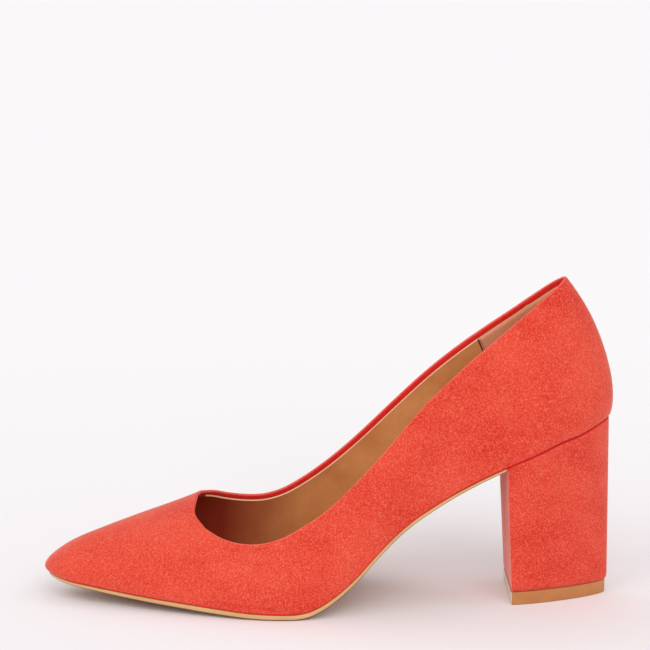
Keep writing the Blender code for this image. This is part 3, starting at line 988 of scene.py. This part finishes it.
def suede(name, deep, light, fleck, shift=0.0, sheen=0.7):
    """Napped suede: brushed clouds, a short nap that scatters light at the rim, and fine fibres."""
    made = Nodes(name)
    clouds = made.noise(34.0 + shift, 4.0, 0.6)
    brushed = made.noise(85.0, 3.0, 0.6, stretch=(0.45, 1.0, 1.9))
    grain = made.noise(2700.0, 1.0, 0.6)
    fibres = made.noise(1250.0, 2.0, 0.6)
    colour = made.mix(made.spread(clouds, 0.36, 0.62), deep, light)
    colour = made.mix(made.spread(brushed, 0.4, 0.66, 0.0, 0.5), colour, light)
    colour = made.mix(made.spread(fibres, 0.40, 0.68, 0.0, 0.6), colour, fleck)
    colour = made.mix(made.spread(grain, 0.40, 0.65, 0.0, 0.75), colour, deep)
    made.link(colour, made.shader.inputs["Base Color"])
    made.fixed(Roughness=0.95, Specular_IOR_Level=0.12)
    made.fixed(Sheen_Weight=sheen, Sheen_Roughness=0.4, Sheen_Tint=(1.0, 0.54, 0.46, 1.0))
    made.bump([(brushed, 0.12), (fibres, 0.16), (grain, 0.14)])
    return made.material


def leather(name, base, dark, roughness, grain_depth, toe=None):
    """Smooth leather or sole board: faint clouds, a fine pebbled grain, and painted shade deepening
    towards the toe if asked.
    """
    made = Nodes(name)
    clouds = made.noise(60.0, 3.0, 0.5)
    grain = made.noise(1100.0, 2.0, 0.55)
    pores = made.noise(420.0, 2.0, 0.6)
    colour = made.mix(made.spread(clouds, 0.3, 0.7), base, dark)
    colour = made.mix(made.spread(pores, 0.5, 0.8, 0.0, 0.3), colour, dark)
    # Painted shade: towards the toe the colour darkens to the toe colour, for the shade deep in the
    # toe.
    if toe:
        split = made.tree.nodes.new("ShaderNodeSeparateXYZ")
        made.link(made.place, split.inputs["Vector"])
        colour = made.mix(made.spread(split.outputs["X"], *TOE_SHADE_ENDS), toe, colour)
    made.link(colour, made.shader.inputs["Base Color"])
    worn = made.spread(clouds, 0.3, 0.7, roughness - 0.06, roughness + 0.06)
    made.link(worn, made.shader.inputs["Roughness"])
    made.fixed(Specular_IOR_Level=0.5)
    made.bump([(pores, grain_depth), (grain, grain_depth * 0.6)])
    return made.material


def make_materials():
    reds = (0.65, 0.026, 0.013), (0.81, 0.086, 0.046), (0.92, 0.23, 0.15)
    # Painted highlight: the fold along the topline is a lighter coral than the rest, for the light that
    # catches its turn.
    fold_highlight_reds = (0.80, 0.08, 0.05), (0.88, 0.15, 0.10), (0.93, 0.24, 0.18)
    band_reds = (0.74, 0.014, 0.014), (0.84, 0.035, 0.03), (0.88, 0.07, 0.06)
    # Painted highlight: the breast is a lighter, pinker copy of the suede, for the light and sheen that
    # fall on it.
    breast_highlight_reds = (0.94, 0.16, 0.14), (0.96, 0.29, 0.26), (0.97, 0.42, 0.39)
    lining_tans = (0.76, 0.35, 0.13), (0.59, 0.235, 0.075)
    sock_tans = (0.60, 0.28, 0.11), (0.48, 0.2, 0.07)
    return {
        "suede": suede("suede", *reds),
        "fold": suede("fold_suede_highlight", *fold_highlight_reds, sheen=0.25),
        "band": suede("band_suede", *band_reds, sheen=0.1),
        "heel_suede": suede("heel_suede", *reds, shift=9.0),
        "breast": suede("breast_suede_highlight", *breast_highlight_reds, shift=5.0),
        # Painted shade: the suede at the wall's foot, turned under it and along the heel's top is a
        # deeper red with no sheen, for the shade in those valleys.
        "seam": leather("suede_in_seam_shade", (0.68, 0.016, 0.012), (0.58, 0.011, 0.009), 0.95, 0.05),
        # Painted shade: the lining darkens to a red brown towards the toe.
        "lining": leather("lining_leather", *lining_tans, 0.32, 0.05, (0.28, 0.03, 0.011)),
        "cut_edge": leather("lining_cut_edge", (0.90, 0.66, 0.42), (0.84, 0.56, 0.32), 0.7, 0.03),
        "grip": leather("heel_grip", (0.78, 0.38, 0.21), (0.68, 0.30, 0.15), 0.75, 0.06),
        # Painted shadow: a dark strip along the heel grip's seam.
        "grip_shadow_line": leather("heel_grip_shadow_line", (0.10, 0.03, 0.015), (0.07, 0.02, 0.01), 0.8, 0.03),
        # Painted shade: the sock darkens to a red brown towards the toe.
        "sock": leather("sock_leather", *sock_tans, 0.42, 0.03, (0.34, 0.05, 0.02)),
        "sole_edge": leather("sole_edge", (0.70, 0.42, 0.18), (0.60, 0.33, 0.13), 0.5, 0.02),
        # Painted shade: the dark strip at the foot of the sole's edge, for the shade under its rounded
        # lower edge and the contact shadow.
        "sole_foot_shade": leather("sole_foot_shade", (0.22, 0.10, 0.045), (0.16, 0.07, 0.03), 0.5, 0.02),
        "sole_under": leather("sole_underside", (0.44, 0.21, 0.085), (0.36, 0.16, 0.06), 0.55, 0.05),
        "lift": leather("lift_side", (0.56, 0.225, 0.065), (0.45, 0.165, 0.045), 0.5, 0.03),
        # Painted highlight: the lift's front is pale, for the glare on it.
        "lift_front_highlight": leather("lift_front_highlight", (0.86, 0.66, 0.54), (0.78, 0.58, 0.46), 0.5, 0.03),
        "lift_under": leather("lift_underside", (0.26, 0.13, 0.06), (0.2, 0.1, 0.05), 0.6, 0.08),
    }


def dress(piece, node):
    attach(piece, "root")
    if node:
        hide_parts(node)


def build_shoe(origin):
    skin = make_materials()
    toe = np.linspace(0, 1, TOE_COLUMNS)[:-1]
    near = place_of(THROAT) - np.array(THROAT_COLUMNS) / POLE_RUN
    ridge = np.arange(1, near[0] - 0.003, COLUMN / POLE_RUN)
    closed = np.concatenate([toe, ridge, near])
    places = [(closed, even_topline(side, COLUMN)) for side in SIDES]
    suedes = [skin["suede"], skin["fold"], skin["band"], skin["seam"]]
    dress(add_piece("upper_suede", upper_grids(places), suedes, origin), "upper")
    leathers = [skin["lining"], skin["cut_edge"], skin["grip"]]
    dress(add_piece("upper_lining", lining_grids(places), leathers, origin), None)
    leathers = [skin["grip"], skin["grip_shadow_line"]]
    dress(add_piece("heel_grip", grip_grids(places), leathers, origin), None)
    dress(add_piece("sock", [[sock_grid()]], [skin["sock"]], origin), "insole")
    rubbers = [skin["sole_edge"], skin["sole_foot_shade"], skin["sole_under"]]
    dress(add_piece("sole", sole_grids(), rubbers, origin), "outsole")
    suedes = [skin["heel_suede"], skin["breast"], skin["seam"]]
    dress(add_piece("heel_cover", heel_grids(), suedes, origin), "heel")
    rubbers = [skin["lift"], skin["lift_front_highlight"], skin["lift_under"]]
    dress(add_piece("lift", lift_grids(), rubbers, origin), "top_lift")


def add_floor():
    """A wide pale floor with painted shade that makes it a little darker and pinker towards the front.
    """
    mesh = bpy.data.meshes.new("floor")
    ways = (-1, -1), (1, -1), (1, 1), (-1, 1)
    corners = [(x * FLOOR_REACH, y * FLOOR_REACH, 0.0) for x, y in ways]
    mesh.from_pydata(corners, [], [(0, 1, 2, 3)])
    made = Nodes("floor_paper")
    split = made.tree.nodes.new("ShaderNodeSeparateXYZ")
    made.link(made.place, split.inputs["Vector"])
    # Painted shade: darker and pinker towards the front, paler towards the back.
    depth = made.spread(split.outputs["Y"], *FLOOR_SHADE_ENDS)
    colour = made.mix(depth, (0.915, 0.885, 0.895), (0.95, 0.935, 0.945))
    made.link(colour, made.shader.inputs["Base Color"])
    made.fixed(Roughness=0.9, Specular_IOR_Level=0.0)
    mesh.materials.append(made.material)
    floor = bpy.data.objects.new("floor", mesh)
    bpy.context.scene.collection.objects.link(floor)


def add_sun(name, turn, rise, spread, share):
    """A soft lamp far away, as bright as it takes to add this share to the floor's brightness."""
    data = bpy.data.lights.new(name, "SUN")
    data.angle = math.radians(spread)
    data.energy = share * math.pi / math.sin(math.radians(rise))
    turn, rise = math.radians(turn), math.radians(rise)
    place = Vector((-math.sin(turn) * math.cos(rise), -math.cos(turn) * math.cos(rise), math.sin(rise)))
    lamp = bpy.data.objects.new(name, data)
    lamp.location = place
    lamp.rotation_euler = (-place).to_track_quat("-Z", "Y").to_euler()
    bpy.context.scene.collection.objects.link(lamp)


def add_lights():
    world = bpy.data.worlds.new("studio")
    world.use_nodes = True
    background = world.node_tree.nodes["Background"]
    background.inputs["Color"].default_value = (1.0, 0.99, 1.0, 1.0)
    background.inputs["Strength"].default_value = WORLD_SHARE
    bpy.context.scene.world = world
    for lamp in LAMPS:
        add_sun(*lamp)


def add_camera(origin):
    target = Vector(np.array([CAMERA_STATION, CAMERA_SIDE, CAMERA_HEIGHT]) - origin)
    data = bpy.data.cameras.new("camera")
    data.sensor_width = SENSOR
    data.lens = PIXELS_PER_MM * CAMERA_DISTANCE / IMAGE_WIDTH * SENSOR
    data.clip_end = 50.0
    turn, rise = math.radians(CAMERA_TURN), math.radians(CAMERA_ELEVATION)
    way = Vector((math.sin(turn) * math.cos(rise), math.cos(turn) * math.cos(rise), -math.sin(rise)))
    camera = bpy.data.objects.new("camera", data)
    camera.location = (target - way * CAMERA_DISTANCE) * MM
    camera.rotation_euler = way.to_track_quat("-Z", "Y").to_euler()
    bpy.context.scene.collection.objects.link(camera)
    bpy.context.scene.camera = camera


def main():
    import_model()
    low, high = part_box("top_lift")
    origin = np.array([BREAST_TOP + BREAST_LEAN - low.x / MM, -(low.y + high.y) / 2 / MM, 0.0])
    build_shoe(origin)
    add_floor()
    add_lights()
    add_camera(origin)
    bpy.context.scene.view_settings.view_transform = "Standard"


main()
